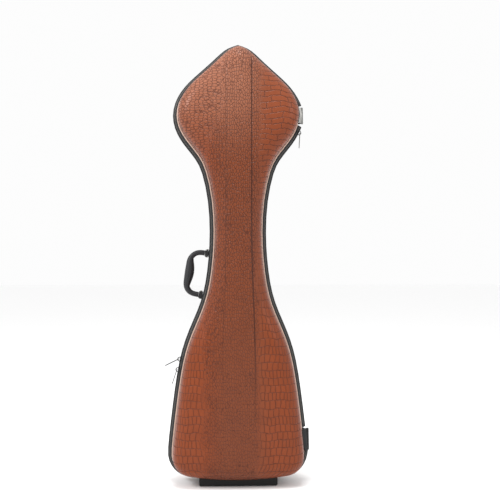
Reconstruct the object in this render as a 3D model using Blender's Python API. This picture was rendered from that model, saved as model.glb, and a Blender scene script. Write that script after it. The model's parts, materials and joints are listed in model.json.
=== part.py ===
# Contoured zip-up case for a long-necked string instrument, standing on its base.
# Metres, +Z up. The lid faces -Y, the back faces +Y, and the two halves meet at y = 0.

import math

import bmesh
import bpy
import numpy as np
from mathutils import Matrix, Vector

# Outline of the walls, seen from the front
BASE_LEVEL = 0.0172
BASE_SAG = 0.0093
BODY_LEVEL = 0.084
BODY_HALF_WIDTH = 0.1785
CORNER_WIDTH = 0.0467
WAIST_LEVEL = 0.680
WAIST_HALF_WIDTH = 0.0613
HEAD_LEVEL = 1.001
HEAD_HALF_WIDTH = 0.165
HEAD_TOP = 1.1823
CROWN_HALF_WIDTH = 0.038
CROWN_DROP = 0.0205

# Depth of the halves and their layers
LID_DEPTH = 0.100
BACK_DEPTH = 0.092
SHOULDER_INSET = 0.055
SHOULDER_RISE = 0.048
COVERING = 0.002
SHELL = 0.008
LINING = 0.002
GAP = 0.0003
RIM_GAP = 0.0004

# Spine pressed into the lid
SPINE_HALF_TOP = 0.033
SPINE_HALF_BASE = 0.043
SPINE_RISE = 0.002
SPINE_EDGE = 0.0025

# Zip band, measured outwards from the wall and in depth from the zip plane
COVER_EDGE = 0.0133
PIPING_RADIUS = 0.0023
BAND_OUT = 0.015
TRIM_FRONT = 0.007
TRIM_BACK = 0.015
COIL_IN = 0.0074
COIL_OUT = 0.0104

# Hinges on the right
UPPER_HINGE_LEVEL = 1.002
UPPER_HINGE_LENGTH = 0.042
UPPER_HINGE_RADIUS = 0.0027
UPPER_HINGE_OUT = 0.011
LOWER_HINGE_LEVEL = 0.115
LOWER_HINGE_LENGTH = 0.056
LOWER_HINGE_RADIUS = 0.0042
LOWER_HINGE_OUT = 0.0160
HINGE_PLATE = 0.0016
HINGE_PLATE_DEPTH = 0.026
HINGE_STEPS = 6

# Carrying handle on the left
HANDLE_LOW = 0.505
HANDLE_HIGH = 0.623
HANDLE_OUT = 0.0205
HANDLE_Y = 0.0235
HANDLE_REACH = 0.043
HANDLE_ARM = 0.0072
HANDLE_GRIP = 0.0125
HANDLE_PIN = 0.0020

# Zip sliders
SLIDER_LENGTH = 0.015
SLIDER_WIDTH = 0.010
SLIDER_BASE_OUT = 0.0118
SLIDER_PLATE = 0.0022
BAIL_HALF = 0.0058
BAIL_WIRE = 0.0011
PULL_LENGTH = 0.041
PULL_WIDTH = 0.0082
PULL_THICKNESS = 0.0018
PULL_SPREAD = 0.0022
MAIN_UPPER_LEVEL = 0.333
MAIN_LOWER_LEVEL = 0.305
SIDE_LEVEL = 0.9615

# Base rails
RAIL_HALF_LENGTH = 0.105
RAIL_WIDTH = 0.028
RAIL_OFFSET = 0.036

# Interior
BOLSTER = 0.028
BOLSTER_GAP = 0.0006
BOX_LOW = 0.442
BOX_HIGH = 0.545
BOX_HALF_LOW = 0.050
BOX_HALF_HIGH = 0.034
BOX_FRONT = 0.032
BOX_WALL = 0.0025
BUTTON_LEVEL = 0.90
POCKET_LOW = 0.150
POCKET_HIGH = 0.230
BOW_X = 0.030

MATERIALS = {
    "leatherette": ((0.27, 0.085, 0.04), 0.38, 0.0),
    "piping": ((0.47, 0.32, 0.27), 0.4, 0.0),
    "foam_shell": ((0.12, 0.12, 0.12), 0.8, 0.0),
    "plush": ((0.05, 0.012, 0.015), 0.95, 0.0),
    "tape": ((0.012, 0.012, 0.012), 0.8, 0.0),
    "coil": ((0.09, 0.085, 0.08), 0.45, 0.0),
    "edging": ((0.01, 0.01, 0.01), 0.5, 0.0),
    "rubber": ((0.015, 0.015, 0.015), 0.7, 0.0),
    "grip": ((0.035, 0.034, 0.036), 0.55, 0.0),
    "black_metal": ((0.02, 0.02, 0.02), 0.4, 0.8),
    "nickel": ((0.45, 0.44, 0.42), 0.3, 1.0),
    "moulded": ((0.02, 0.02, 0.02), 0.5, 0.0),
}


def clear_scene():
    for obj in list(bpy.data.objects):
        bpy.data.objects.remove(obj, do_unlink=True)


def material(name):
    found = bpy.data.materials.get(name)
    if found:
        return found
    colour, roughness, metallic = MATERIALS[name]
    made = bpy.data.materials.new(name)
    made.use_nodes = True
    shader = made.node_tree.nodes["Principled BSDF"]
    shader.inputs["Base Color"].default_value = (*colour, 1.0)
    shader.inputs["Roughness"].default_value = roughness
    shader.inputs["Metallic"].default_value = metallic
    return made


def finish(bm, name, finish_name, parent=None, smooth=40):
    """Closes a bmesh into a named object with its own material."""
    bmesh.ops.remove_doubles(bm, verts=bm.verts, dist=1e-6)
    bmesh.ops.recalc_face_normals(bm, faces=bm.faces)
    mesh = bpy.data.meshes.new(name)
    bm.to_mesh(mesh)
    bm.free()
    mesh.materials.append(material(finish_name))
    mesh.shade_smooth()
    mesh.set_sharp_from_angle(angle=math.radians(smooth))
    obj = bpy.data.objects.new(name, mesh)
    bpy.context.scene.collection.objects.link(obj)
    if parent:
        obj.parent = parent
        obj.matrix_parent_inverse = parent.matrix_world.inverted()
    return obj


def axis_empty(name, place, frame=None):
    empty = bpy.data.objects.new(name, None)
    empty.matrix_world = Matrix.Translation(place) @ (frame.to_4x4() if frame else Matrix())
    empty.empty_display_size = 0.03
    bpy.context.scene.collection.objects.link(empty)
    bpy.context.view_layer.update()
    return empty


# The outline: knots of a smooth curve down the right side, each with its heading

def outline_knots():
    def head(f, g, heading):
        level = HEAD_LEVEL + g * (HEAD_TOP - HEAD_LEVEL)
        return (f * HEAD_HALF_WIDTH, level, heading)

    def neck(f, g, heading):
        wide = WAIST_HALF_WIDTH + f * (HEAD_HALF_WIDTH - WAIST_HALF_WIDTH)
        return (wide, WAIST_LEVEL + g * (HEAD_LEVEL - WAIST_LEVEL), heading)

    def flare(f, g, heading):
        wide = WAIST_HALF_WIDTH + f * (BODY_HALF_WIDTH - WAIST_HALF_WIDTH)
        return (wide, BODY_LEVEL + g * (WAIST_LEVEL - BODY_LEVEL), heading)

    corner_end = BASE_LEVEL + BASE_SAG
    corner_rise = BODY_LEVEL - corner_end
    return [
        ((0.0, HEAD_TOP, 0), 2),
        ((CROWN_HALF_WIDTH, HEAD_TOP - CROWN_DROP, -43), 1),
        (head(0.376, 0.756, -46), 1),
        (head(0.606, 0.571, -39), 4),
        ((HEAD_HALF_WIDTH, HEAD_LEVEL, -90), 3),
        (neck(0.643, 0.752, -131), 2),
        (neck(0.219, 0.551, -110), 2),
        ((WAIST_HALF_WIDTH, WAIST_LEVEL, -90), 2),
        (flare(0.104, 0.765, -82), 2),
        (flare(0.407, 0.589, -63.4), 2),
        (flare(0.723, 0.413, -78.3), 2),
        (flare(0.914, 0.144, -82.4), 1),
        ((BODY_HALF_WIDTH, BODY_LEVEL, -90), 2),
        ((BODY_HALF_WIDTH - 0.30 * CORNER_WIDTH, BODY_LEVEL - 0.713 * corner_rise, -137), 2),
        ((BODY_HALF_WIDTH - CORNER_WIDTH, corner_end, -172), 3),
        ((0.0, BASE_LEVEL, -180), 0),
    ]


def curve_span(start, end, share):
    """Point and heading on a smooth span that leaves and arrives at the given headings."""
    turn = math.radians(end[2] - start[2])
    a = np.array(start[:2])
    b = np.array(end[:2])
    pull = np.linalg.norm(b - a) / (3 * math.cos(turn / 4) ** 2)
    leave = math.radians(start[2])
    arrive = math.radians(end[2])
    p1 = a + pull * np.array([math.cos(leave), math.sin(leave)])
    p2 = b - pull * np.array([math.cos(arrive), math.sin(arrive)])
    u = 1 - share
    point = u**3 * a + 3 * u * u * share * p1 + 3 * u * share * share * p2 + share**3 * b
    along = u * u * (p1 - a) + 2 * u * share * (p2 - p1) + share * share * (b - p2)
    along /= np.linalg.norm(along)
    return point, np.array([-along[1], along[0]])


def half_outline():
    """Points and outward directions from the crown down the right side to the middle of the base."""
    knots = outline_knots()
    points = []
    outward = []
    for (start, steps), (end, _) in zip(knots, knots[1:]):
        for step in range(steps):
            point, normal = curve_span(start, end, step / steps)
            points.append(point)
            outward.append(normal)
    points.append(np.array([0.0, BASE_LEVEL]))
    outward.append(np.array([0.0, -1.0]))
    outward[0] = np.array([0.0, 1.0])
    return np.array(points), np.array(outward)


WALL, WALL_OUT = half_outline()
STATIONS = len(WALL) - 1


def wall_at(level):
    """The wall's point and outward direction on the right side at a height."""
    order = np.argsort(WALL[:, 1])
    x = np.interp(level, WALL[order, 1], WALL[order, 0])
    out = np.array([np.interp(level, WALL[order, 1], WALL_OUT[order, k]) for k in (0, 1)])
    return np.array([x, level]), out / np.linalg.norm(out)


def inset_of(x, z):
    """How far a point lies inside the wall."""
    mirror = np.array([abs(x), z])
    a = WALL[:-1]
    b = WALL[1:]
    along = b - a
    share = np.clip(((mirror - a) * along).sum(1) / (along**2).sum(1), 0, 1)
    return float(np.linalg.norm(a + share[:, None] * along - mirror, axis=1).min())


def wall_from(point, out, along):
    """Outward distance from a point beside the case to the wall, negative when the wall lies inwards."""
    side = 1 if point.x > 0 else -1
    away = WALL * (side, 1) - np.array([point.x, point.z])
    away = away[np.hypot(away[:, 0], away[:, 1]) < 0.07]
    along_wall = away @ np.array([along.x, along.z])
    order = np.argsort(along_wall)
    return float(np.interp(0.0, along_wall[order], (away @ np.array([out.x, out.z]))[order]))


def loop_stations():
    """Points and outward directions all the way round, clockwise from the crown."""
    left = WALL[STATIONS - 1 : 0 : -1] * (-1, 1)
    left_out = WALL_OUT[STATIONS - 1 : 0 : -1] * (-1, 1)
    return np.vstack([WALL, left]), np.vstack([WALL_OUT, left_out])


# The shells: layers inset from the wall, with a straight wall, a round shoulder and a flat face

def layer_depth(inset, layer, depth):
    wall = depth - SHOULDER_RISE
    across = SHOULDER_INSET - layer
    rise = SHOULDER_RISE - layer
    lack = max(0.0, 1 - (inset - layer) / across)
    return wall + rise * math.sqrt(max(0.0, 1 - lack * lack))


def spine_half(level):
    share = min(1.0, max(0.0, (0.7 - level) / 0.4))
    return SPINE_HALF_TOP + share * (SPINE_HALF_BASE - SPINE_HALF_TOP)


def spine_fade(level):
    top = min(1.0, max(0.0, (HEAD_TOP - 0.018 - level) / 0.02))
    return top * min(1.0, max(0.15, level / 0.25))


def face_columns(reach, level, spine):
    if not spine:
        return [max(0.5 * reach, reach - 0.030), reach]
    half = spine_half(level)
    margin = half + 0.008
    scale = min(1.0, reach / margin)
    outer = max((half + SPINE_EDGE + reach) / 2, reach - 0.020) if scale == 1.0 else scale * (half + 0.0055)
    return [scale * (half - SPINE_EDGE), scale * (half + SPINE_EDGE), outer, reach]


def add_skin(bm, side, depth, layer, rim, angles, spine=False):
    """Adds one surface of a layer and gives back its rim loop."""
    points, outward = loop_stations()
    across = SHOULDER_INSET - layer
    rise = SHOULDER_RISE - layer
    rings = [(layer, rim)]
    for angle in angles:
        turn = math.radians(angle)
        rings.append((layer + across * (1 - math.cos(turn)), depth - SHOULDER_RISE + rise * math.sin(turn)))
    loops = []
    for inset, deep in rings:
        inner = points - outward * inset
        loops.append([bm.verts.new((x, side * deep, z)) for x, z in inner])
    for first, second in zip(loops, loops[1:]):
        join_loops(bm, first, second)
    last = loops[-1]
    rows = [[last[0]]]
    for i in range(1, STATIONS):
        right = last[i]
        left = last[len(points) - i]
        level = right.co.z
        columns = face_columns(right.co.x, level, spine)
        row = [left]
        marks = [-x for x in columns[-2::-1]] + [0.0] + columns[:-1]
        for x in marks:
            deep = layer_depth(inset_of(x, level), layer, depth)
            if spine and abs(x) <= columns[0] + 1e-9:
                deep += SPINE_RISE * spine_fade(level)
            row.append(bm.verts.new((x, side * deep, level)))
        row.append(right)
        rows.append(row)
    rows.append([last[STATIONS]])
    for upper, lower in zip(rows, rows[1:]):
        join_rows(bm, upper, lower)
    return loops[0]


def join_loops(bm, first, second):
    """Faces between two closed loops with the same number of points."""
    count = len(first)
    for k in range(count):
        m = (k + 1) % count
        bm.faces.new((first[k], first[m], second[m], second[k]))


def join_rows(bm, upper, lower):
    if len(upper) == 1:
        for a, b in zip(lower, lower[1:]):
            bm.faces.new((upper[0], a, b))
        return
    if len(lower) == 1:
        for a, b in zip(upper, upper[1:]):
            bm.faces.new((lower[0], b, a))
        return
    for k in range(len(upper) - 1):
        bm.faces.new((upper[k], upper[k + 1], lower[k + 1], lower[k]))


def loft(bm, rings):
    """A closed body through rings with the same number of points."""
    for first, second in zip(rings, rings[1:]):
        join_loops(bm, first, second)
    bm.faces.new(rings[0])
    bm.faces.new(list(reversed(rings[-1])))


def layer_solid(name, finish_name, side, depth, outer, inner, rims, angles, spine=False, parent=None):
    bm = bmesh.new()
    outside = add_skin(bm, side, depth, outer, rims[0], angles[0], spine)
    inside = add_skin(bm, side, depth, inner, rims[1], angles[1])
    join_loops(bm, outside, inside)
    return finish(bm, name, finish_name, parent)


SHELL_OUT = COVERING + GAP
SHELL_IN = SHELL_OUT + SHELL
LINING_OUT = SHELL_IN + GAP
LINING_IN = LINING_OUT + LINING
PLAIN_RINGS = (0, 20, 50)
ROUND_RINGS = (0, 20, 35, 50)


def build_half(prefix, side, depth, cover_edge, spine, parent):
    layer_solid(prefix + "_covering", "leatherette", side, depth, 0.0, COVERING,
                (cover_edge, cover_edge), (ROUND_RINGS, PLAIN_RINGS), spine, parent)
    layer_solid(prefix + "_shell", "foam_shell", side, depth, SHELL_OUT, SHELL_IN,
                (RIM_GAP, RIM_GAP), (PLAIN_RINGS, PLAIN_RINGS), False, parent)
    layer_solid(prefix + "_lining", "plush", side, depth, LINING_OUT, LINING_IN,
                (0.0012, 0.0012), (PLAIN_RINGS, PLAIN_RINGS), False, parent)


def floor_depth(x, z):
    """Depth of the back lining's inner surface."""
    return layer_depth(inset_of(x, z), LINING_IN, BACK_DEPTH)


# The zip band: sections swept along the wall

def sweep(name, finish_name, stations, section, closed=False, parent=None, smooth=50):
    """Sweeps a closed section of (outward, depth) points along wall stations."""
    bm = bmesh.new()
    rings = []
    for point, out in stations:
        ring = [bm.verts.new((point[0] + n * out[0], y, point[1] + n * out[1])) for n, y in section]
        rings.append(ring)
    pairs = list(zip(rings, rings[1:]))
    if closed:
        pairs.append((rings[-1], rings[0]))
    for first, second in pairs:
        join_loops(bm, first, second)
    if not closed:
        bm.faces.new(rings[0])
        bm.faces.new(list(reversed(rings[-1])))
    return finish(bm, name, finish_name, parent, smooth)


def hinge_gaps():
    """Heights where the zip band stops above and below each hinge."""
    clear = 0.004
    upper = UPPER_HINGE_LENGTH / 2 + clear
    lower = LOWER_HINGE_LENGTH / 2 + clear
    return (UPPER_HINGE_LEVEL + upper, UPPER_HINGE_LEVEL - upper, LOWER_HINGE_LEVEL + lower, LOWER_HINGE_LEVEL - lower)


def main_zip_stations():
    """From above the upper hinge, over the head, down the left and round the base to the lower hinge."""
    above_upper, _, _, below_lower = hinge_gaps()
    points, outward = loop_stations()
    around = list(zip(points, outward))
    start = [item for item in around[: STATIONS + 1] if item[0][1] > above_upper + 0.004]
    left = around[STATIONS + 1 :]
    end = [item for item in around[: STATIONS + 1] if item[0][1] < below_lower - 0.004]
    return [wall_at(above_upper)] + start[::-1] + left[::-1] + end[::-1] + [wall_at(below_lower)]


def side_zip_stations():
    """Down the right side between the two hinges."""
    _, below_upper, above_lower, _ = hinge_gaps()
    inside = [item for item in zip(WALL, WALL_OUT) if above_lower + 0.004 < item[0][1] < below_upper - 0.004]
    return [wall_at(below_upper)] + inside + [wall_at(above_lower)]


def edging_section():
    """The black edging's section, with its outer corners eased."""
    seat = -SHELL_OUT + GAP
    ease = 0.0015
    return [(seat, TRIM_FRONT), (BAND_OUT - ease, TRIM_FRONT), (BAND_OUT, TRIM_FRONT + ease),
            (BAND_OUT, TRIM_BACK - ease), (BAND_OUT - ease, TRIM_BACK), (seat, TRIM_BACK)]


def build_band(lid, back):
    points, outward = loop_stations()
    around = list(zip(points, outward))
    centre = (0.0016, -(COVER_EDGE - PIPING_RADIUS - GAP))
    turns = [math.radians(60 * k) for k in range(6)]
    cord = [(centre[0] + PIPING_RADIUS * math.cos(t), centre[1] + PIPING_RADIUS * math.sin(t)) for t in turns]
    sweep("lid_piping", "piping", around, cord, True, lid)
    seat = -SHELL_OUT + GAP
    sweep("back_edging", "edging", main_zip_stations(), edging_section(), False, back)
    sweep("back_side_edging", "edging", side_zip_stations(), edging_section(), False, back)
    lid_tape = [(seat, -0.0077), (0.0012, -0.0077), (COIL_OUT - 0.002, -0.0032), (COIL_IN - 0.0002, -0.0022)]
    lid_coil = [(COIL_IN, -0.0019), (COIL_OUT, -0.0019), (COIL_OUT, -RIM_GAP), (COIL_IN, -RIM_GAP)]
    back_coil = [(n, -y) for n, y in lid_coil]
    back_tape = [(COIL_IN, 0.0022), (COIL_OUT - 0.0005, 0.0022), (0.0124, TRIM_FRONT - GAP), (0.0100, TRIM_FRONT - GAP)]
    for zip_name, stations in (("main", main_zip_stations()), ("side", side_zip_stations())):
        sweep("lid_" + zip_name + "_tape", "tape", stations, lid_tape, False, lid)
        sweep("lid_" + zip_name + "_coil", "coil", stations, lid_coil, False, lid)
        sweep("back_" + zip_name + "_coil", "coil", stations, back_coil, False, back)
        sweep("back_" + zip_name + "_tape", "tape", stations, back_tape, False, back)


# Small solids

def prism(bm, outline, low, high, place):
    """Extrudes an outline of (a, b) points between two heights; place maps (a, b, c) to the world."""
    bottom = [bm.verts.new(place(a, b, low)) for a, b in outline]
    top = [bm.verts.new(place(a, b, high)) for a, b in outline]
    bm.faces.new(bottom)
    bm.faces.new(list(reversed(top)))
    count = len(outline)
    for k in range(count):
        m = (k + 1) % count
        bm.faces.new((bottom[k], top[k], top[m], bottom[m]))


def circle(radius, sides, centre=(0.0, 0.0)):
    turns = [2 * math.pi * k / sides for k in range(sides)]
    return [(centre[0] + radius * math.cos(t), centre[1] + radius * math.sin(t)) for t in turns]


def combine(obj, other, operation):
    change = obj.modifiers.new(other.name, "BOOLEAN")
    change.operation = operation
    change.solver = "EXACT"
    change.object = other
    other.hide_render = True
    other.display_type = "WIRE"


def local_place(origin, out, along):
    """Maps (outward, depth, along) to the world."""
    def place(n, y, s):
        return (origin[0] + n * out[0] + s * along[0], origin[1] + y, origin[2] + n * out[2] + s * along[2])
    return place


# Hinges

def hinge_axis_ends():
    high, high_out = wall_at(UPPER_HINGE_LEVEL)
    low, low_out = wall_at(LOWER_HINGE_LEVEL)
    top = high + UPPER_HINGE_OUT * high_out
    base = low + LOWER_HINGE_OUT * low_out
    return Vector((base[0], 0, base[1])), Vector((top[0], 0, top[1]))


def hinge_leaf(name, finish_name, side, centre, along, length, radius, knuckles, parent):
    """A plate on the wall, bent out over the band to knuckles on the axis."""
    out = Vector((along.z, 0, -along.x))
    bm = bmesh.new()
    rings = []
    for step in range(HINGE_STEPS + 1):
        point = centre + along * ((step / HINGE_STEPS - 0.5) * length)
        seat = wall_from(point, out, along) + GAP
        top = seat + HINGE_PLATE
        hop = seat + 0.0085
        edge = COVER_EDGE + 0.002 if side < 0 else TRIM_BACK + 0.002
        profile = [(seat, edge + HINGE_PLATE_DEPTH), (seat, edge), (hop, edge - 0.004), (hop, 0.0065),
                   (-radius * 0.5, 0.0012), (radius * 0.2, radius * 0.55), (hop + HINGE_PLATE, 0.0090),
                   (hop + HINGE_PLATE, edge - 0.003), (top, edge + 0.0015), (top, edge + HINGE_PLATE_DEPTH)]
        if hop > -radius:
            hop_cap = -radius
            profile[2] = (hop_cap, edge - 0.004)
            profile[3] = (hop_cap, 0.0065)
            profile[6] = (hop_cap + HINGE_PLATE, 0.0090)
            profile[7] = (hop_cap + HINGE_PLATE, edge - 0.003)
        rings.append([bm.verts.new(point + out * n + Vector((0, side * y, 0))) for n, y in profile])
    loft(bm, rings)
    leaf = finish(bm, name, finish_name, parent, 30)
    place = local_place(centre, out, along)
    for index, (low, high) in enumerate(knuckles):
        clear = bmesh.new()
        beyond = [end * length + math.copysign(0.002, end) * (abs(end) == 0.5) for end in (low, high)]
        prism(clear, circle(radius + 0.0006, 14), *beyond, place)
        gap_cut = finish(clear, name + "_space_" + str(index), finish_name)
        if (side < 0) == (index % 2 == 0):
            combine(leaf, gap_cut, "DIFFERENCE")
        else:
            bpy.data.objects.remove(gap_cut)
    for index, (low, high) in enumerate(knuckles):
        if (side < 0) == (index % 2 == 0):
            continue
        barrel = bmesh.new()
        prism(barrel, circle(radius, 12), low * length + 0.0002, high * length - 0.0002, place)
        knuckle = finish(barrel, name + "_knuckle_" + str(index), finish_name)
        combine(leaf, knuckle, "UNION")
    bore = bmesh.new()
    prism(bore, circle(radius * 0.45 + 0.0003, 10), -0.6 * length, 0.6 * length, place)
    combine(leaf, finish(bore, name + "_bore", finish_name), "DIFFERENCE")
    return leaf


def hinge_pin(name, finish_name, centre, along, length, radius, parent):
    out = Vector((along.z, 0, -along.x))
    place = local_place(centre, out, along)
    shank = radius * 0.45
    half = length / 2 + 0.0004
    head = half + 0.0014
    bm = bmesh.new()
    rings = []
    for s, r in ((-head, radius * 0.8), (-half, radius * 0.8), (-half, shank), (half, shank), (half, radius * 0.8), (head, radius * 0.8)):
        rings.append([bm.verts.new(place(a, b, s)) for a, b in circle(r, 10)])
    loft(bm, rings)
    return finish(bm, name, finish_name, parent, 30)


def build_hinges(lid, back):
    base, top = hinge_axis_ends()
    along = (top - base).normalized()
    knuckles = [(-0.5, -0.18), (-0.18, 0.18), (0.18, 0.5)]
    for prefix, centre, length, radius, metal in (
        ("upper_hinge", top, UPPER_HINGE_LENGTH, UPPER_HINGE_RADIUS, "nickel"),
        ("lower_hinge", base, LOWER_HINGE_LENGTH, LOWER_HINGE_RADIUS, "black_metal"),
    ):
        hinge_leaf(prefix + "_lid_leaf", metal, -1, centre, along, length, radius, knuckles, lid)
        hinge_leaf(prefix + "_back_leaf", metal, 1, centre, along, length, radius, knuckles, back)
        hinge_pin(prefix + "_pin", metal, centre, along, length, radius, back)


# Carrying handle

def handle_frame():
    low, low_out = wall_at(HANDLE_LOW)
    high, high_out = wall_at(HANDLE_HIGH)
    low = low + HANDLE_OUT * low_out
    high = high + HANDLE_OUT * high_out
    base = Vector((-low[0], HANDLE_Y, low[1]))
    top = Vector((-high[0], HANDLE_Y, high[1]))
    along = (top - base).normalized()
    out = Vector((-along.z, 0, along.x))
    return base, top, along, out


def build_handle(back):
    base, top, along, out = handle_frame()
    middle = (base + top) / 2
    half = (top - base).length / 2
    pivot = axis_empty("handle_axis", middle)
    place = local_place(middle, out, along)
    bend = 0.026
    path = [(0.0062, half), (0.012, half + 0.0003)]
    for turn in (0, 22, 45, 68, 90):
        t = math.radians(turn)
        path.append((HANDLE_REACH - bend + bend * math.sin(t), half - bend + bend * math.cos(t)))
    path += [(HANDLE_REACH - 0.001, half * 0.30), (HANDLE_REACH - 0.001, 0.0)]
    path += [(n, -s) for n, s in path[-2::-1]]
    bm = bmesh.new()
    rings = []
    for index, (n, s) in enumerate(path):
        before = path[max(0, index - 1)]
        after = path[min(len(path) - 1, index + 1)]
        run = Vector((after[0] - before[0], after[1] - before[1])).normalized()
        side = Vector((run.y, -run.x))
        grip = max(0.0, 1 - abs(s) / (half * 0.62)) ** 0.5
        wide = HANDLE_ARM + (HANDLE_GRIP - HANDLE_ARM) * grip
        deep = HANDLE_ARM * 0.95 + 0.004 * grip
        ring = []
        for k in range(10):
            t = 2 * math.pi * k / 10
            across = wide * math.cos(t)
            swell = (HANDLE_ARM - wide) * 0.55
            ring.append(bm.verts.new(place(n + side.x * across + swell, deep * math.sin(t), s + side.y * across)))
        rings.append(ring)
    loft(bm, rings)
    finish(bm, "handle_grip", "grip", pivot, 60)
    for name, sign in (("upper", 1), ("lower", -1)):
        build_handle_end(name, sign * half, (middle, out, along), pivot, back)


def build_handle_end(name, centre, frame, pivot, back):
    """The end cap that swings, with the pin and the bracket that stay on the back."""
    middle, out, along = frame
    place = local_place(middle, out, along)
    cap_half = 0.0076
    bm = bmesh.new()
    outline = [(-0.0052, -0.0055), (-0.0052, 0.0055), (-0.0035, 0.0074), (0.0058, 0.0074), (0.0058, -0.0074), (-0.0035, -0.0074)]
    prism(bm, outline, centre - cap_half, centre + cap_half, place)
    cap = finish(bm, "handle_cap_" + name, "moulded", pivot, 30)
    bore = bmesh.new()
    prism(bore, circle(HANDLE_PIN + 0.0003, 12), centre - 0.02, centre + 0.02, place)
    combine(cap, finish(bore, "handle_bore_" + name, "moulded"), "DIFFERENCE")
    ear = 0.0014
    clear = cap_half + 0.0005
    reach = clear + ear + 0.0003
    pin = bmesh.new()
    rings = []
    levels = ((-reach - 0.0012, 0.0033), (-reach, 0.0033), (-reach, HANDLE_PIN), (reach, HANDLE_PIN),
              (reach, 0.0033), (reach + 0.0022, 0.0026))
    for s, r in levels:
        rings.append([pin.verts.new(place(a, b, centre + s)) for a, b in circle(r, 12)])
    loft(pin, rings)
    finish(pin, "handle_pin_" + name, "nickel", back, 30)
    front = TRIM_BACK + 0.0008 - HANDLE_Y
    bracket = bmesh.new()
    rings = []
    span = reach + 0.004
    for s in (-span, -0.66 * span, -0.33 * span, 0.0, 0.33 * span, 0.66 * span, span):
        seat = wall_from(Vector(place(0, 0, centre + s)), out, along) + 0.0006
        rings.append([bracket.verts.new(place(n, y, centre + s)) for n, y in
                      ((seat, front), (seat + 0.0016, front), (seat + 0.0016, 0.016), (seat, 0.016))])
    loft(bracket, rings)
    plate = finish(bracket, "handle_bracket_" + name, "black_metal", back, 30)
    for end, sign in (("a", -1), ("b", 1)):
        lug = bmesh.new()
        ends = sorted((sign * clear, sign * (clear + ear)))
        outline = [(-HANDLE_OUT + 0.0012, front), (0.002, front), (0.0052, front + 0.004), (0.0052, 0.004), (0.002, 0.0075), (-HANDLE_OUT + 0.0012, 0.0105)]
        prism(lug, outline, centre + ends[0], centre + ends[1], place)
        combine(plate, finish(lug, "handle_lug_" + name + end, "black_metal"), "UNION")
    hole = bmesh.new()
    prism(hole, circle(HANDLE_PIN + 0.0003, 12), centre - 0.02, centre + 0.02, place)
    combine(plate, finish(hole, "handle_hole_" + name, "black_metal"), "DIFFERENCE")


# Zip sliders

def slider_frame(level, side):
    point, out = wall_at(level)
    origin = Vector((side * point[0], 0, point[1]))
    outward = Vector((side * out[0], 0, out[1]))
    down = Vector((side * out[1], 0, -out[0]))
    return origin, outward, -down


def build_slider(name, level, side, hang, back):
    """A slider on the coil with a bail, and a pull whose cross bar hangs in the bail."""
    origin, outward, up = slider_frame(level, side)
    place = local_place(origin, outward, up)
    rider = axis_empty(name + "_place", origin)
    half = SLIDER_LENGTH / 2
    wide = SLIDER_WIDTH / 2
    outline = [(-half, -wide * 0.7), (half * 0.4, -wide), (half, -wide * 0.55), (half, wide * 0.55), (half * 0.4, wide), (-half, wide * 0.7)]
    bm = bmesh.new()
    prism(bm, [(y, s) for s, y in outline], SLIDER_BASE_OUT, SLIDER_BASE_OUT + SLIDER_PLATE,
          lambda y, s, n: place(n, y, s))
    body = finish(bm, name + "_slider", "black_metal", rider, 30)
    foot = SLIDER_BASE_OUT + SLIDER_PLATE - 0.0006
    arch = bmesh.new()
    rings = []
    for turn in (0, 36, 72, 108, 144, 180):
        t = math.radians(turn)
        n = foot + 0.0065 * math.sin(t)
        s = BAIL_HALF * math.cos(t)
        away = Vector((math.sin(t), math.cos(t)))
        ring = []
        for k in range(6):
            u = math.radians(60 * k)
            ring.append(arch.verts.new(place(n + away.x * BAIL_WIRE * math.cos(u), BAIL_WIRE * math.sin(u),
                                             s + away.y * BAIL_WIRE * math.cos(u))))
        rings.append(ring)
    loft(arch, rings)
    combine(body, finish(arch, name + "_bail", "black_metal"), "UNION")
    build_pull(name, origin, outward, up, hang)


def build_pull(name, origin, outward, up, hang):
    """A forked pull: two tines either side of the bail, joined by a bar through it."""
    centre = origin + outward * (SLIDER_BASE_OUT + SLIDER_PLATE + 0.0029)
    turn = math.radians(hang)
    run = -up * math.cos(turn) + outward * math.sin(turn)
    across = outward * math.cos(turn) + up * math.sin(turn)
    pivot = axis_empty(name + "_pull_axis", centre)
    wide = PULL_WIDTH / 2
    slot = PULL_SPREAD
    fork = 0.0100
    thick = PULL_THICKNESS / 2

    def place(s, y, t):
        return centre + run * s + Vector((0, y, 0)) + across * t

    outline = [(-0.0009, -wide), (PULL_LENGTH * 0.75, -wide), (PULL_LENGTH, -wide * 0.6), (PULL_LENGTH, wide * 0.6),
               (PULL_LENGTH * 0.75, wide), (-0.0009, wide)]
    bm = bmesh.new()
    prism(bm, outline, -thick, thick, place)
    pull = finish(bm, name + "_pull", "nickel" if name == "side" else "black_metal", pivot, 30)
    cut = bmesh.new()
    prism(cut, [(0.0009, -slot), (fork, -slot), (fork, slot), (0.0009, slot)], -0.004, 0.004, place)
    combine(pull, finish(cut, name + "_fork", "black_metal"), "DIFFERENCE")


# Base rails

def build_rail(name, y, parent):
    """A rubber rail with a flat underside, its top following the curved base."""
    bm = bmesh.new()
    half = RAIL_WIDTH / 2
    rings = []
    base = WALL[WALL[:, 1] < BODY_LEVEL * 0.6][::-1]
    right = [x for x in base[:, 0] if 0 < x < RAIL_HALF_LENGTH - 0.005] + [RAIL_HALF_LENGTH - 0.003, RAIL_HALF_LENGTH]
    for x in [-x for x in reversed(right)] + [0.0] + right:
        level = float(np.interp(abs(x), base[:, 0], base[:, 1])) - GAP
        lift = 0.003 if abs(x) == RAIL_HALF_LENGTH else 0.0
        section = [(y - half, level), (y + half, level), (y + half, lift + 0.002), (y + half - 0.002, lift),
                   (y - half + 0.002, lift), (y - half, lift + 0.002)]
        rings.append([bm.verts.new((x, a, b)) for a, b in section])
    loft(bm, rings)
    finish(bm, name, "rubber", parent, 30)


# Interior

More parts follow.
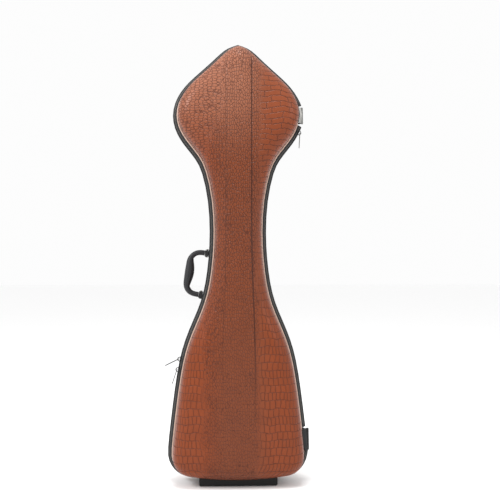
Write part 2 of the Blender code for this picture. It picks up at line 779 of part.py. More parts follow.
def bolster_section(depth_low, depth_high, thick):
    """A crowned pad: full against the wall, drawn in at its corners."""
    low = depth_low
    high = depth_high
    root = -LINING_IN - BOLSTER_GAP
    tall = high - low
    return [(root, low + 0.25 * tall), (root - 0.002, low + 0.06 * tall), (root - 0.3 * thick, low),
            (root - 0.75 * thick, low + 0.08 * tall), (root - thick, low + 0.35 * tall),
            (root - thick, low + 0.7 * tall), (root - 0.8 * thick, high - 0.04 * tall),
            (root - 0.45 * thick, high), (root - 0.006, high - 0.08 * tall), (root, low + 0.72 * tall)]


def build_bolster(name, stations, thick, back):
    low = 0.006
    high = BACK_DEPTH - SHOULDER_RISE + 0.014
    full = bolster_section(low, high, thick)
    middle_n = -LINING_IN - BOLSTER_GAP - thick / 2
    middle_y = (low + high) / 2
    bm = bmesh.new()
    rings = []
    last = len(stations) - 1
    for index, (point, out) in enumerate(stations):
        size = {0: 0.55, last: 0.55}.get(index, 1.0)
        ring = []
        for n, y in full:
            nn = middle_n + (n - middle_n) * size
            yy = middle_y + (y - middle_y) * size
            ring.append(bm.verts.new((point[0] + nn * out[0], yy, point[1] + nn * out[1])))
        rings.append(ring)
    loft(bm, rings)
    finish(bm, name, "plush", back, 60)


def stations_between(low, high, side):
    inside = [item for item in zip(WALL, WALL_OUT) if low + 0.008 < item[0][1] < high - 0.008]
    found = [wall_at(high)] + inside + [wall_at(low)]
    return [(point * (side, 1), out * (side, 1)) for point, out in found]


def base_stations(half):
    right = [item for item in zip(WALL, WALL_OUT) if 0 < item[0][0] < half and item[0][1] < BODY_LEVEL * 0.6]
    left = [(point * (-1, 1), out * (-1, 1)) for point, out in right]
    return right + [(WALL[-1], WALL_OUT[-1])] + left[::-1]


def seat_profile(level, reach, marks=5):
    """The back lining's floor across the case at a height, just clear of it."""
    found = []
    for k in range(-marks, marks + 1):
        x = reach * k / marks
        found.append((x, floor_depth(x, level) - 0.0012))
    return found


def build_rest(name, low, high, reach, front, notch, back):
    """A padded block on the lining with a round notch for the neck."""
    bm = bmesh.new()
    rings = []
    for level in (low, (low + high) / 2, high):
        seat = seat_profile(level, reach)
        outline = [(x, y) for x, y in seat]
        outline += [(reach + 0.001, front + 0.008), (reach - 0.006, front), (notch + 0.006, front)]
        for turn in (20, 55, 90, 125, 160):
            t = math.radians(turn)
            outline.append((notch * math.cos(t), front + 0.004 + notch * 0.9 * math.sin(t)))
        outline += [(-notch - 0.006, front), (-reach + 0.006, front), (-reach - 0.001, front + 0.008)]
        rings.append([bm.verts.new((x, y, level)) for x, y in outline])
    loft(bm, rings)
    finish(bm, name, "plush", back, 50)


def build_accessory_box(back):
    """An open tray on the floor of the back, and its lid hinged at the upper end."""
    floor_half_low = BOX_HALF_LOW - 0.016
    floor_half_high = BOX_HALF_HIGH - 0.014
    seat = min(floor_depth(floor_half_low, BOX_LOW + 0.006), floor_depth(floor_half_high, BOX_HIGH - 0.006)) - 0.0008

    def shell(inset, front, rear):
        rings = []
        for y, low_half, high_half, pull in ((front, BOX_HALF_LOW, BOX_HALF_HIGH, 0.0),
                                             (rear, floor_half_low, floor_half_high, 0.006)):
            low = BOX_LOW + pull + inset
            high = BOX_HIGH - pull - inset
            rings.append([(-low_half + inset, y, low), (low_half - inset, y, low),
                          (high_half - inset, y, high), (-high_half + inset, y, high)])
        return rings

    def hull(name, inset, front, rear, parent=None):
        bm = bmesh.new()
        near, far = [[bm.verts.new(co) for co in ring] for ring in shell(inset, front, rear)]
        bm.faces.new(near)
        bm.faces.new(list(reversed(far)))
        for k in range(4):
            m = (k + 1) % 4
            bm.faces.new((near[k], far[k], far[m], near[m]))
        return finish(bm, name, "moulded", parent, 30)

    box = hull("accessory_box", 0.0, BOX_FRONT, seat, back)
    combine(box, hull("accessory_space", BOX_WALL, BOX_FRONT - 0.01, seat - BOX_WALL), "DIFFERENCE")
    axis = axis_empty("accessory_lid_axis", Vector((0, BOX_FRONT - 0.0030, BOX_HIGH - 0.002)))
    bm = bmesh.new()
    outline = [(-BOX_HALF_LOW, BOX_LOW), (BOX_HALF_LOW, BOX_LOW), (BOX_HALF_HIGH, BOX_HIGH - 0.0005), (-BOX_HALF_HIGH, BOX_HIGH - 0.0005)]
    prism(bm, outline, BOX_FRONT - 0.0035, BOX_FRONT - GAP * 2, lambda x, z, y: (x, y, z))
    finish(bm, "accessory_lid", "plush", axis, 30)
    tab = bmesh.new()
    outline = [(-0.008, BOX_LOW - 0.012), (0.008, BOX_LOW - 0.012), (0.009, BOX_LOW + 0.012), (-0.009, BOX_LOW + 0.012)]
    prism(tab, outline, BOX_FRONT - 0.0052, BOX_FRONT - 0.0035 - GAP, lambda x, z, y: (x, y, z))
    finish(tab, "accessory_tab", "tape", axis, 30)


def build_bow_holder(lid):
    """In the lid: a pocket for the bow's frog low down, and a turn button near the tip."""
    lining = layer_depth(inset_of(BOW_X, BUTTON_LEVEL), LINING_IN, LID_DEPTH)
    seat = -(lining - 0.0007)

    def place(a, b, y):
        return (BOW_X + a, y, BUTTON_LEVEL + b)

    base = bmesh.new()
    prism(base, circle(0.009, 14), seat, seat + 0.006, place)
    disc = finish(base, "bow_button_base", "moulded", lid, 30)
    hole = bmesh.new()
    prism(hole, circle(0.0029, 12), seat + 0.001, seat + 0.02, place)
    combine(disc, finish(hole, "bow_button_hole", "moulded"), "DIFFERENCE")
    axis = axis_empty("bow_button_axis", Vector((BOW_X, seat, BUTTON_LEVEL)))
    knob = bmesh.new()
    outline = [(-0.006, 0.005), (-0.0075, 0.0), (-0.006, -0.005), (0.020, -0.006), (0.024, 0.0), (0.020, 0.006)]
    prism(knob, outline, seat + 0.0065, seat + 0.0105, place)
    button = finish(knob, "bow_button", "moulded", axis, 30)
    stem = bmesh.new()
    prism(stem, circle(0.0024, 12), seat + 0.0015, seat + 0.008, place)
    combine(button, finish(stem, "bow_button_stem", "moulded"), "UNION")
    floor = min(layer_depth(inset_of(BOW_X + 0.024, z), LINING_IN, LID_DEPTH) for z in (POCKET_LOW, POCKET_HIGH))
    rest = -(floor - 0.0010)
    arch = [(-0.024, rest), (-0.024, rest + 0.0016), (-0.0165, rest + 0.0022)]
    arch += [(-0.0165, rest + 0.014), (-0.012, rest + 0.0195), (0.012, rest + 0.0195), (0.0165, rest + 0.014)]
    arch += [(0.0165, rest + 0.0022), (0.024, rest + 0.0016), (0.024, rest)]
    inner = [(0.0148, rest), (0.0148, rest + 0.0135), (0.011, rest + 0.0178), (-0.011, rest + 0.0178),
             (-0.0148, rest + 0.0135), (-0.0148, rest)]
    bm = bmesh.new()
    prism(bm, arch + inner, POCKET_LOW, POCKET_HIGH, lambda x, y, z: (BOW_X + x, y, z))
    finish(bm, "bow_pocket", "plush", lid, 40)


def main():
    clear_scene()
    back = axis_empty("back_place", Vector((0, 0, 0)))
    lid = axis_empty("lid_axis", hinge_axis_ends()[0])
    build_half("lid", -1, LID_DEPTH, COVER_EDGE, True, lid)
    build_half("back", 1, BACK_DEPTH, TRIM_BACK + GAP, False, back)
    build_band(lid, back)
    build_hinges(lid, back)
    build_handle(back)
    build_slider("main_upper", MAIN_UPPER_LEVEL, -1, 52, back)
    build_slider("main_lower", MAIN_LOWER_LEVEL, -1, 8, back)
    build_slider("side", SIDE_LEVEL, 1, 22, back)
    build_rail("lid_rail", -RAIL_OFFSET, lid)
    build_rail("back_rail", RAIL_OFFSET, back)
    build_bolster("body_bolster_left", stations_between(0.080, 0.372, -1), BOLSTER, back)
    build_bolster("body_bolster_right", stations_between(0.080, 0.372, 1), BOLSTER, back)
    build_bolster("body_bolster_base", base_stations(0.100), BOLSTER * 0.8, back)
    build_bolster("head_bolster_left", stations_between(0.935, 1.070, -1), BOLSTER, back)
    build_bolster("head_bolster_right", stations_between(0.935, 1.070, 1), BOLSTER, back)
    build_rest("neck_rest", 0.700, 0.765, 0.030, 0.030, 0.020, back)
    build_rest("head_rest", 1.040, 1.090, 0.040, 0.036, 0.024, back)
    build_accessory_box(back)
    build_bow_holder(lid)


main()
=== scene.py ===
import json
import math

import bpy
import bmesh
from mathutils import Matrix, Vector


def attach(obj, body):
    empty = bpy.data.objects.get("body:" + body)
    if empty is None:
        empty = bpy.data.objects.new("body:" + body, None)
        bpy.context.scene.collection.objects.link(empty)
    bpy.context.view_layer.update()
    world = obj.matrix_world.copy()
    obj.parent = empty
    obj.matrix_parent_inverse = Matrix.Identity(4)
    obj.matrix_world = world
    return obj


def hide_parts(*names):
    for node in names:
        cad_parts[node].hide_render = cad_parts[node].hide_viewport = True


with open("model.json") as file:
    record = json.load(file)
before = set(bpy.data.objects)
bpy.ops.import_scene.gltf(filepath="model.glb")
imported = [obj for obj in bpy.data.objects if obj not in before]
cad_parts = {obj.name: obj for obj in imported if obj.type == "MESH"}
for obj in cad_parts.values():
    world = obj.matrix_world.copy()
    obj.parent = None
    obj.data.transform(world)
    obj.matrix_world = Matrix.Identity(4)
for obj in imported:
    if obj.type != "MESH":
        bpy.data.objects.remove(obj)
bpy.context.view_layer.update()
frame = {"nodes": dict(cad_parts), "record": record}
nodes = frame["nodes"]
print("frame loaded:", len(nodes), "nodes")


# Shader helpers: a value given to them is a number, a color or another shader node's output

def newMaterial(name, color, roughness, metallic=0.0):
    mat = bpy.data.materials.new(name)
    mat.use_nodes = True
    shader = mat.node_tree.nodes["Principled BSDF"]
    shader.inputs["Base Color"].default_value = (*color, 1.0)
    shader.inputs["Roughness"].default_value = roughness
    shader.inputs["Metallic"].default_value = metallic
    return mat, mat.node_tree, shader


def addNode(tree, kind, **settings):
    made = tree.nodes.new(kind)
    for key, value in settings.items():
        setattr(made, key, value)
    return made


def feed(tree, value, socket):
    if isinstance(value, bpy.types.NodeSocket):
        tree.links.new(value, socket)
    elif socket.type == "RGBA":
        socket.default_value = (*value, 1.0)
    else:
        socket.default_value = value


def mathNode(tree, operation, *values):
    made = addNode(tree, "ShaderNodeMath", operation=operation)
    for value, socket in zip(values, made.inputs):
        feed(tree, value, socket)
    return made.outputs[0]


def product(tree, result, *others):
    for other in others:
        result = mathNode(tree, "MULTIPLY", result, other)
    return result


def total(tree, result, *others):
    for other in others:
        result = mathNode(tree, "ADD", result, other)
    return result


def ramp(tree, source, span, results=(0.0, 1.0)):
    # Turns the source's way through a span of values into a smooth change between two results
    made = addNode(tree, "ShaderNodeMapRange", interpolation_type="SMOOTHSTEP")
    feed(tree, source, made.inputs["Value"])
    made.inputs["From Min"].default_value, made.inputs["From Max"].default_value = span
    made.inputs["To Min"].default_value, made.inputs["To Max"].default_value = results
    return made.outputs["Result"]


# The places of a Mix node's two values and its result, by the kind of value
mixPlaces = {"FLOAT": (2, 3, 0), "RGBA": (6, 7, 2)}


def mix(tree, kind, share, first, second):
    made = addNode(tree, "ShaderNodeMix", data_type=kind)
    firstPlace, secondPlace, resultPlace = mixPlaces[kind]
    feed(tree, share, made.inputs[0])
    feed(tree, first, made.inputs[firstPlace])
    feed(tree, second, made.inputs[secondPlace])
    return made.outputs[resultPlace]


def mixFloat(tree, share, first, second):
    return mix(tree, "FLOAT", share, first, second)


def mixColor(tree, share, first, second):
    return mix(tree, "RGBA", share, first, second)


def stretched(tree, source, stretch):
    made = addNode(tree, "ShaderNodeVectorMath", operation="MULTIPLY")
    feed(tree, source, made.inputs[0])
    feed(tree, stretch, made.inputs[1])
    return made.outputs[0]


def objectPoint(tree):
    return addNode(tree, "ShaderNodeTexCoord").outputs["Object"]


def separate(tree, point):
    made = addNode(tree, "ShaderNodeSeparateXYZ")
    feed(tree, point, made.inputs[0])
    return made.outputs


def toneOf(tree, color):
    # A texture gives each scale a random color, whose first channel is the scale's tone
    made = addNode(tree, "ShaderNodeSeparateColor")
    feed(tree, color, made.inputs[0])
    return made.outputs[0]


def noise(tree, source, scale, detail=2.0):
    made = addNode(tree, "ShaderNodeTexNoise")
    feed(tree, source, made.inputs["Vector"])
    made.inputs["Scale"].default_value = scale
    made.inputs["Detail"].default_value = detail
    return made.outputs["Fac"]


def bump(tree, shader, height, strength, distance):
    made = addNode(tree, "ShaderNodeBump")
    made.inputs["Strength"].default_value = strength
    made.inputs["Distance"].default_value = distance
    feed(tree, height, made.inputs["Height"])
    tree.links.new(made.outputs["Normal"], shader.inputs["Normal"])


def dimmed(color, share):
    return tuple(min(1.0, share * channel) for channel in color)


# The hide's scales

# Small ones run down the middle and broad ones lie in rows at the sides. In the head they are oval on
# the left and wide on the right. A wave is given as its stretch, its scale and its size.
scaleLook = {
    "grooveReach": (0.0, 0.16),
    "small": {"stretch": (1.15, 0.5, 0.7), "scale": 150.0, "randomness": 0.8},
    "oval": {"stretch": (0.7, 0.4, 1.15), "scale": 125.0, "randomness": 0.7},
    "broad": {"Brick Width": 0.0150, "Row Height": 0.0205},
    "wide": {"Brick Width": 0.052, "Row Height": 0.0142},
    "mortar": 0.0019,
    "rowShift": 0.37,
    "rowSquash": 0.72,
    "squashEvery": 3,
    "acrossWaves": (((1.0, 1.0, 1.3), 8.0, 0.024), ((1.1, 1.0, 0.9), 70.0, 0.006)),
    "upwardWaves": (((2.0, 1.0, 0.9), 11.0, 0.018), ((1.1, 1.0, 1.9), 85.0, 0.005)),
    "waveDetail": 1.0,
    "rightFade": (-0.01, 0.01),
    "leftBorder": (0.096, 0.045),
    "leftBorderHeights": (0.86, 1.02),
    "rightBorder": 0.054,
    "borderFade": (0.012, 0.036),
    "borderScale": 9.0,
    "borderWander": 0.05,
    "headHeights": (0.52, 0.62),
}


def cellPattern(group, point, cells):
    # Height and tone of irregular scales
    edge = addNode(group, "ShaderNodeTexVoronoi", feature="DISTANCE_TO_EDGE")
    cell = addNode(group, "ShaderNodeTexVoronoi", feature="F1")
    place = stretched(group, point, cells["stretch"])
    for texture in (edge, cell):
        group.links.new(place, texture.inputs["Vector"])
        texture.inputs["Scale"].default_value = cells["scale"]
        texture.inputs["Randomness"].default_value = cells["randomness"]
    height = ramp(group, edge.outputs["Distance"], scaleLook["grooveReach"])
    return height, toneOf(group, cell.outputs["Color"])


def rowPattern(group, point, scaleSize):
    # Height and tone of scales in uneven rows, which run on round the case's sides
    x, y, z = separate(group, point)
    around = mathNode(group, "SUBTRACT", mathNode(group, "ABSOLUTE", x), mathNode(group, "ABSOLUTE", y))
    flat = addNode(group, "ShaderNodeCombineXYZ")
    for index, source, waves in ((0, around, scaleLook["acrossWaves"]), (1, z, scaleLook["upwardWaves"])):
        place = source
        for stretch, scale, amount in waves:
            wave = noise(group, stretched(group, point, stretch), scale, scaleLook["waveDetail"])
            place = total(group, place, product(group, wave, amount))
        group.links.new(place, flat.inputs[index])
    rows = addNode(group, "ShaderNodeTexBrick", offset=scaleLook["rowShift"], squash=scaleLook["rowSquash"],
                   squash_frequency=scaleLook["squashEvery"])
    group.links.new(flat.outputs[0], rows.inputs["Vector"])
    rows.inputs["Color1"].default_value = (0.0, 0.0, 0.0, 1.0)
    rows.inputs["Color2"].default_value = (1.0, 1.0, 1.0, 1.0)
    rows.inputs["Scale"].default_value = 1.0
    rows.inputs["Mortar Size"].default_value = scaleLook["mortar"]
    rows.inputs["Mortar Smooth"].default_value = 1.0
    for name, value in scaleSize.items():
        rows.inputs[name].default_value = value
    return mathNode(group, "SUBTRACT", 1.0, rows.outputs["Fac"]), toneOf(group, rows.outputs["Color"])


def scaleGroup():
    # The shared group that turns a point on the hide into the scales' height and a tone for each scale
    group = bpy.data.node_groups.new("hideScales", "ShaderNodeTree")
    group.interface.new_socket("Point", in_out="INPUT", socket_type="NodeSocketVector")
    group.interface.new_socket("Height", in_out="OUTPUT", socket_type="NodeSocketFloat")
    group.interface.new_socket("Tone", in_out="OUTPUT", socket_type="NodeSocketFloat")
    start = group.nodes.new("NodeGroupInput")
    end = group.nodes.new("NodeGroupOutput")
    point = start.outputs[0]
    x, _, z = separate(group, point)
    rightShare = ramp(group, x, scaleLook["rightFade"])
    leftBorder = ramp(group, z, scaleLook["leftBorderHeights"], scaleLook["leftBorder"])
    border = mixFloat(group, rightShare, leftBorder, scaleLook["rightBorder"])
    wander = product(group, noise(group, point, scaleLook["borderScale"]), scaleLook["borderWander"])
    sideways = total(group, mathNode(group, "ABSOLUTE", x), wander)
    broadShare = ramp(group, mathNode(group, "SUBTRACT", sideways, border), scaleLook["borderFade"])
    headShare = ramp(group, z, scaleLook["headHeights"])
    small = cellPattern(group, point, scaleLook["small"])
    oval = cellPattern(group, point, scaleLook["oval"])
    broad = rowPattern(group, point, scaleLook["broad"])
    wide = rowPattern(group, point, scaleLook["wide"])
    for index in range(2):
        head = mixFloat(group, rightShare, oval[index], wide[index])
        outer = mixFloat(group, headShare, broad[index], head)
        group.links.new(mixFloat(group, broadShare, small[index], outer), end.inputs[index])
    return group


# The two pressed lines beside the lid's raised spine, of which the left one is fainter. Their darkening is
# painted shade, strongest in the right one, which the light from the left leaves in shade.

creaseLook = {
    "halfSpine": (0.0435, 0.0335),
    "halfSpineHeights": (0.30, 0.70),
    "width": 0.0026,
    "footFade": (0.12, 0.42),
    "headFade": (1.13, 1.16),
    "frontFade": (-0.06, -0.03),
    "rightFade": (-0.01, 0.01),
    "leftShare": 0.35,
    "paintedShade": 0.95,
    "depth": 1.6,
}


def creaseMask(tree, point):
    x, y, z = separate(tree, point)
    half = ramp(tree, z, creaseLook["halfSpineHeights"], creaseLook["halfSpine"])
    away = mathNode(tree, "ABSOLUTE", mathNode(tree, "SUBTRACT", mathNode(tree, "ABSOLUTE", x), half))
    return product(
        tree,
        ramp(tree, away, (0.0, creaseLook["width"]), (1.0, 0.0)),
        ramp(tree, z, creaseLook["footFade"]),
        ramp(tree, z, creaseLook["headFade"], (1.0, 0.0)),
        ramp(tree, y, creaseLook["frontFade"], (1.0, 0.0)),
        ramp(tree, x, creaseLook["rightFade"], (creaseLook["leftShare"], 1.0)),
    )


# The hide: paler towards the head's left from a painted highlight, browner in the middle from a painted
# reflection's haze, with darker patches and grooves

hideLook = {
    "sideColor": (0.192, 0.036, 0.0062),
    "middlePaintedHazeColor": (0.168, 0.0385, 0.0112),
    "paintedHighlightColor": (0.29, 0.108, 0.060),
    "grooveColor": (0.045, 0.009, 0.003),
    "paintedHazeFade": (0.03, 0.10),
    "highlightHeights": (0.85, 1.10),
    "highlightFade": (0.0, 0.08),
    "highlightShare": (0.9, 0.2),
    "patchScale": 22.0,
    "patchDetail": 3.0,
    "patchFade": (0.35, 0.75),
    "patchShare": (0.0, 0.14),
    "toneShare": 0.07,
    "grooveFade": (0.0, 0.75),
    "grooveShare": (0.32, 1.0),
    "roughness": 0.38,
    "grooveRoughness": 0.55,
    "roughnessFade": (0.1, 0.9),
    "specular": 0.22,
    "coat": 0.06,
    "coatRoughness": 0.25,
    "grainScale": 900.0,
    "grainShare": 0.10,
    "relief": 0.0015,
    "reliefStrength": 0.8,
}


def hideMaterial():
    mat, tree, shader = newMaterial("embossedHide", hideLook["sideColor"], hideLook["roughness"])
    point = objectPoint(tree)
    scales = addNode(tree, "ShaderNodeGroup")
    scales.node_tree = scaleGroup()
    tree.links.new(point, scales.inputs[0])
    height, tone = scales.outputs
    crease = creaseMask(tree, point)
    groove = hideLook["grooveColor"]

    x, _, z = separate(tree, point)
    # The middle takes a hazier painted reflection of the front light; the sides, turned away from it, keep
    # the saturated color
    sideShare = ramp(tree, mathNode(tree, "ABSOLUTE", x), hideLook["paintedHazeFade"])
    color = mixColor(tree, sideShare, hideLook["middlePaintedHazeColor"], hideLook["sideColor"])
    # Painted highlight: the head's upper left is painted paler, as lit by the key light
    leftShare = ramp(tree, x, hideLook["highlightFade"], hideLook["highlightShare"])
    highlightShare = product(tree, leftShare, ramp(tree, z, hideLook["highlightHeights"]))
    color = mixColor(tree, highlightShare, color, hideLook["paintedHighlightColor"])
    patches = noise(tree, point, hideLook["patchScale"], hideLook["patchDetail"])
    color = mixColor(tree, ramp(tree, patches, hideLook["patchFade"], hideLook["patchShare"]), color, groove)
    color = mixColor(tree, product(tree, tone, hideLook["toneShare"]), color, groove)
    color = mixColor(tree, ramp(tree, height, hideLook["grooveFade"], hideLook["grooveShare"]), groove, color)
    # Painted shade darkens the pressed lines
    color = mixColor(tree, product(tree, crease, creaseLook["paintedShade"]), color, groove)
    tree.links.new(color, shader.inputs["Base Color"])

    grain = product(tree, noise(tree, point, hideLook["grainScale"]), hideLook["grainShare"])
    pressed = product(tree, crease, creaseLook["depth"])
    relief = mathNode(tree, "SUBTRACT", total(tree, height, grain), pressed)
    bump(tree, shader, relief, hideLook["reliefStrength"], hideLook["relief"])

    top = ramp(tree, height, hideLook["roughnessFade"])
    roughness = mixFloat(tree, top, hideLook["grooveRoughness"], hideLook["roughness"])
    tree.links.new(roughness, shader.inputs["Roughness"])
    shader.inputs["Specular IOR Level"].default_value = hideLook["specular"]
    shader.inputs["Coat Weight"].default_value = hideLook["coat"]
    shader.inputs["Coat Roughness"].default_value = hideLook["coatRoughness"]
    return mat


# Pile and moulded foam: fine fibers and a broad unevenness

fabricLook = {
    "fiberDetail": 4.0,
    "fiberShare": 0.6,
    "broadScale": 14.0,
    "broadShare": 0.4,
    "dark": 0.55,
    "light": 1.5,
    "reliefStrength": 0.6,
}


def fabricMaterial(name, color, roughness, fineness, relief, sheen):
    mat, tree, shader = newMaterial(name, color, roughness)
    point = objectPoint(tree)
    fibers = noise(tree, point, fineness, fabricLook["fiberDetail"])
    broad = noise(tree, point, fabricLook["broadScale"])
    tone = total(tree, product(tree, fibers, fabricLook["fiberShare"]),
                 product(tree, broad, fabricLook["broadShare"]))
    color = mixColor(tree, tone, dimmed(color, fabricLook["dark"]), dimmed(color, fabricLook["light"]))
    tree.links.new(color, shader.inputs["Base Color"])
    bump(tree, shader, fibers, fabricLook["reliefStrength"], relief)
    shader.inputs["Sheen Weight"].default_value = sheen
    return mat


# Fine ribs across a band, as on woven tape or a coil's teeth

ribLook = {"slant": 0.8, "edges": (-0.6, 0.6), "dark": 0.35, "reliefStrength": 0.7}


def ribbedMaterial(name, color, roughness, pitch, relief, depthSlant=0.0):
    mat, tree, shader = newMaterial(name, color, roughness)
    x, y, z = separate(tree, objectPoint(tree))
    run = total(tree, z, product(tree, x, ribLook["slant"]), product(tree, y, depthSlant))
    wave = mathNode(tree, "SINE", product(tree, run, 2 * math.pi / pitch))
    rib = ramp(tree, wave, ribLook["edges"])
    tree.links.new(mixColor(tree, rib, dimmed(color, ribLook["dark"]), color), shader.inputs["Base Color"])
    bump(tree, shader, rib, ribLook["reliefStrength"], relief)
    return mat


# A moulded or plated finish with small unevenness in tone and gloss

wornLook = {
    "detail": 3.0,
    "dark": 0.8,
    "light": 1.2,
    "glossFade": (0.2, 0.8),
    "glossy": 0.85,
    "dull": 1.2,
    "reliefStrength": 0.35,
    "mouldedSpecular": 0.28,
}


def wornMaterial(name, color, roughness, metallic, fineness=180.0, relief=0.00012):
    mat, tree, shader = newMaterial(name, color, roughness, metallic)
    specks = noise(tree, objectPoint(tree), fineness, wornLook["detail"])
    color = mixColor(tree, specks, dimmed(color, wornLook["dark"]), dimmed(color, wornLook["light"]))
    tree.links.new(color, shader.inputs["Base Color"])
    span = (roughness * wornLook["glossy"], roughness * wornLook["dull"])
    tree.links.new(ramp(tree, specks, wornLook["glossFade"], span), shader.inputs["Roughness"])
    bump(tree, shader, specks, wornLook["reliefStrength"], relief)
    if not metallic:
        shader.inputs["Specular IOR Level"].default_value = wornLook["mouldedSpecular"]
    return mat


# Each slot's material, as name, color and roughness, then as its function says

materials = {
    "leatherette": hideMaterial(),
    # The cord is real, and its pale color also paints the reflection of the white surroundings on the rim's
    # edge
    "piping": wornMaterial("cordPaintedRimReflection", (0.50, 0.34, 0.27), 0.38, 0.0),
    "foam_shell": fabricMaterial("mouldedFoam", (0.10, 0.10, 0.105), 0.85, 420.0, 0.0003, 0.0),
    "plush": fabricMaterial("plush", (0.10, 0.012, 0.018), 0.95, 520.0, 0.0006, 0.8),
    "tape": ribbedMaterial("zipTape", (0.014, 0.014, 0.015), 0.8, 0.0012, 0.0002),
    "coil": ribbedMaterial("zipCoil", (0.10, 0.093, 0.083), 0.42, 0.0021, 0.0005, 0.6),
    "edging": wornMaterial("edging", (0.011, 0.011, 0.012), 0.45, 0.0),
    "rubber": wornMaterial("baseRubber", (0.014, 0.014, 0.014), 0.72, 0.0, 260.0, 0.0003),
    "grip": wornMaterial("gripSkin", (0.020, 0.020, 0.022), 0.5, 0.0, 320.0, 0.0003),
    "black_metal": wornMaterial("blackMetal", (0.018, 0.018, 0.019), 0.35, 0.6),
    "nickel": wornMaterial("dullNickel", (0.22, 0.215, 0.205), 0.34, 1.0),
    "moulded": wornMaterial("blackMoulding", (0.016, 0.016, 0.017), 0.4, 0.0),
}
print("materials made")


# Every CAD node keeps its place and takes its slot's material. A finer piece stands for its node.

slotOf = {entry["node"]: entry["material_slot"] for entry in frame["record"]["subparts"]}
bodyOf = {node: name for name, group in frame["record"]["behaviour"]["bodies"].items() for node in group}


def paint(obj, slotName):
    obj.data.materials.clear()
    obj.data.materials.append(materials[slotName])
    for face in obj.data.polygons:
        face.material_index = 0


def newObject(name, data):
    made = bpy.data.objects.new(name, data)
    bpy.context.scene.collection.objects.link(made)
    return made


def standFor(obj, nodeName, levels):
    finer = obj.modifiers.new("finer", "SUBSURF")
    finer.levels = levels
    finer.render_levels = levels
    for face in obj.data.polygons:
        face.use_smooth = True
    paint(obj, slotOf[nodeName])
    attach(obj, bodyOf[nodeName])
    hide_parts(nodeName)


def displace(obj, distance):
    made = obj.modifiers.new("displace", "DISPLACE")
    made.mid_level = 0.0
    made.strength = distance
    return made


for nodeName, obj in nodes.items():
    paint(obj, slotOf[nodeName])


# Padded pieces: each pad's foam swells under its cloth, but no further than its cap

padLook = {
    "voxel": 0.005,
    "smoothing": 0.5,
    "smoothRounds": 4,
    "shrink": 0.0016,
    "pressure": 4.0,
    "frames": 20,
    "cap": 0.0035,
    "fill": 0.85,
    "levels": 1,
}
padNames = ("body_bolster_left", "body_bolster_right", "body_bolster_base", "head_bolster_left",
            "head_bolster_right", "neck_rest", "head_rest")


def evaluatedMesh(obj):
    bpy.context.view_layer.update()
    graph = bpy.context.evaluated_depsgraph_get()
    return bpy.data.meshes.new_from_object(obj.evaluated_get(graph))


def swell(pad):
    # The cloth's last shape is kept within the cap, and no cloth stays on the pad
    before = [vertex.co.copy() for vertex in pad.data.vertices]
    cloth = pad.modifiers.new("cloth", "CLOTH")
    cloth.settings.use_pressure = True
    cloth.settings.uniform_pressure_force = padLook["pressure"]
    cloth.settings.effector_weights.gravity = 0.0
    cloth.point_cache.frame_end = padLook["frames"]
    for step in range(1, padLook["frames"] + 1):
        bpy.context.scene.frame_set(step)
    graph = bpy.context.evaluated_depsgraph_get()
    after = [vertex.co.copy() for vertex in pad.evaluated_get(graph).data.vertices]
    pad.modifiers.clear()
    bpy.context.scene.frame_set(1)
    for vertex, start, end in zip(pad.data.vertices, before, after):
        move = end - start
        if move.length > padLook["cap"]:
            move *= padLook["cap"] / move.length
        vertex.co = start + move


def softPad(nodeName):
    pad = newObject(nodeName + "_pad", nodes[nodeName].data.copy())
    remesh = pad.modifiers.new("remesh", "REMESH")
    remesh.mode = "VOXEL"
    remesh.voxel_size = padLook["voxel"]
    smooth = pad.modifiers.new("smooth", "SMOOTH")
    smooth.factor = padLook["smoothing"]
    smooth.iterations = padLook["smoothRounds"]
    displace(pad, -padLook["shrink"])
    rounded = evaluatedMesh(pad)
    pad.modifiers.clear()
    pad.data = rounded
    swell(pad)
    standFor(pad, nodeName, padLook["levels"])


for nodeName in padNames:
    softPad(nodeName)
print("pads made")


# The swept, pressed and moulded pieces, made finer

# Real edges stay sharp, except on the pieces wrapped in cloth, where they are rounded. The foam shell
# is drawn in under its covering, and the grip swells at its left and not near its ends.
surfaceLook = {
    "weld": 0.00002,
    "sharpAngle": 32.0,
    "joinFlatness": 0.35,
    "joinShape": 1.2,
    "roundSegments": 2,
}
skinLook = {
    "covering": {"levels": 2},
    "shell": {"levels": 1, "swellBy": -0.0006},
    "lining": {"levels": 1},
    "edging": {"levels": 1},
    "piping": {"levels": 1},
    "tape": {"levels": 1},
    "coil": {"levels": 1},
}
pieceLook = {
    "handle_grip": {"levels": 2, "swellBy": 0.0016, "reach": (0.010, 0.020)},
    "accessory_box": {"levels": 1, "roundBy": 0.0008},
    "accessory_lid": {"levels": 1, "roundBy": 0.0008},
    "bow_pocket": {"levels": 1, "roundBy": 0.0008},
}


def joinFaces(mesh, keepEdges):
    bm = bmesh.new()
    bm.from_mesh(mesh)
    bmesh.ops.remove_doubles(bm, verts=bm.verts, dist=surfaceLook["weld"])
    bmesh.ops.join_triangles(bm, faces=bm.faces, angle_face_threshold=surfaceLook["joinFlatness"],
                             angle_shape_threshold=surfaceLook["joinShape"])
    crease = bm.edges.layers.float.get("crease_edge") or bm.edges.layers.float.new("crease_edge")
    limit = math.radians(surfaceLook["sharpAngle"])
    for edge in bm.edges:
        edge.smooth = True
        if keepEdges and len(edge.link_faces) == 2 and edge.calc_face_angle(0.0) > limit:
            edge[crease] = 1.0
    bm.to_mesh(mesh)
    bm.free()


def roundEdges(obj, width):
    rounder = obj.modifiers.new("rounder", "BEVEL")
    rounder.width = width
    rounder.segments = surfaceLook["roundSegments"]
    rounder.limit_method = "ANGLE"
    rounder.angle_limit = math.radians(surfaceLook["sharpAngle"])


def limitReach(obj, modifier, reach):
    weights = obj.vertex_groups.new(name="reach")
    leftmost = min(vertex.co.x for vertex in obj.data.vertices)
    full, none = reach
    for vertex in obj.data.vertices:
        away = (vertex.co.x - leftmost - full) / (none - full)
        weights.add([vertex.index], 1.0 - min(1.0, max(0.0, away)), "REPLACE")
    modifier.vertex_group = weights.name


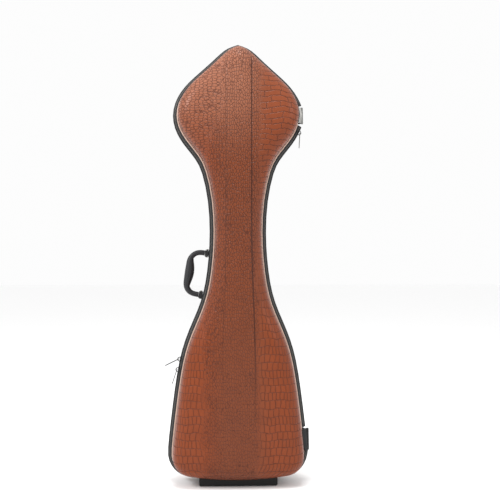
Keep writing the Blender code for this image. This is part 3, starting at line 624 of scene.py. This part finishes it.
def refine(nodeName, look):
    obj = newObject(nodeName + "_fine", nodes[nodeName].data.copy())
    joinFaces(obj.data, "roundBy" not in look)
    if "roundBy" in look:
        roundEdges(obj, look["roundBy"])
    if "swellBy" in look:
        fuller = displace(obj, look["swellBy"])
        if "reach" in look:
            limitReach(obj, fuller, look["reach"])
    normals = obj.data.attributes.get("custom_normal")
    if normals:
        obj.data.attributes.remove(normals)
    standFor(obj, nodeName, look["levels"])


for nodeName in nodes:
    kind = nodeName.split("_")[-1]
    if kind in skinLook:
        refine(nodeName, skinLook[kind])
for nodeName, look in pieceLook.items():
    refine(nodeName, look)
print("surfaces refined")


# Stage and light

stageLook = {
    "floorColor": (0.97, 0.97, 0.97),
    "floorRoughness": 0.8,
    "floorHalf": 14.0,
    "floorLevel": -0.0003,
    "worldColor": (1.0, 1.0, 1.0),
    "worldStrength": 0.98,
    "lightAim": (0.0, 0.0, 0.6),
    "lights": {
        "keyLight": {"place": (-2.2, -1.4, 2.2), "size": 1.0, "power": 52.0},
        "fillLight": {"place": (2.4, -1.4, 1.6), "size": 1.2, "power": 14.0},
        "topLight": {"place": (0.0, -0.7, 3.0), "size": 1.0, "power": 40.0},
    },
}


def lookFrom(obj, place, aim):
    obj.location = place
    obj.rotation_euler = (aim - place).to_track_quat("-Z", "Y").to_euler()


def addFloor():
    mesh = bpy.data.meshes.new("floor")
    bm = bmesh.new()
    bmesh.ops.create_grid(bm, x_segments=1, y_segments=1, size=stageLook["floorHalf"])
    bm.to_mesh(mesh)
    bm.free()
    floor = newObject("floor", mesh)
    floor.location.z = stageLook["floorLevel"]
    mat, _, _ = newMaterial("paleFloor", stageLook["floorColor"], stageLook["floorRoughness"])
    mesh.materials.append(mat)


def addLight():
    world = bpy.data.worlds.new("softSky")
    world.use_nodes = True
    sky = world.node_tree.nodes["Background"]
    sky.inputs["Color"].default_value = (*stageLook["worldColor"], 1.0)
    sky.inputs["Strength"].default_value = stageLook["worldStrength"]
    bpy.context.scene.world = world
    for name, light in stageLook["lights"].items():
        lamp = bpy.data.lights.new(name, "AREA")
        lamp.size = light["size"]
        lamp.energy = light["power"]
        lookFrom(newObject(name, lamp), Vector(light["place"]), Vector(stageLook["lightAim"]))


# The camera stands at the photo's angle, and its lens follows from the width that it shows

cameraLook = {
    "distance": 2.5,
    "height": 0.634,
    "yaw": 2.4,
    "viewWidth": 1.37,
    "aimRight": 0.033,
    "sensor": 36.0,
}


def addCamera():
    data = bpy.data.cameras.new("camera")
    data.sensor_width = cameraLook["sensor"]
    data.lens = cameraLook["sensor"] * cameraLook["distance"] / cameraLook["viewWidth"]
    camera = newObject("camera", data)
    yaw = math.radians(cameraLook["yaw"])
    aim = Vector((cameraLook["aimRight"], 0, cameraLook["height"]))
    back = Vector((-math.sin(yaw), -math.cos(yaw), 0))
    lookFrom(camera, aim + cameraLook["distance"] * back, aim)
    bpy.context.scene.camera = camera


addFloor()
addLight()
addCamera()
bpy.context.scene.view_settings.view_transform = "Standard"
print("stage, light and camera set")
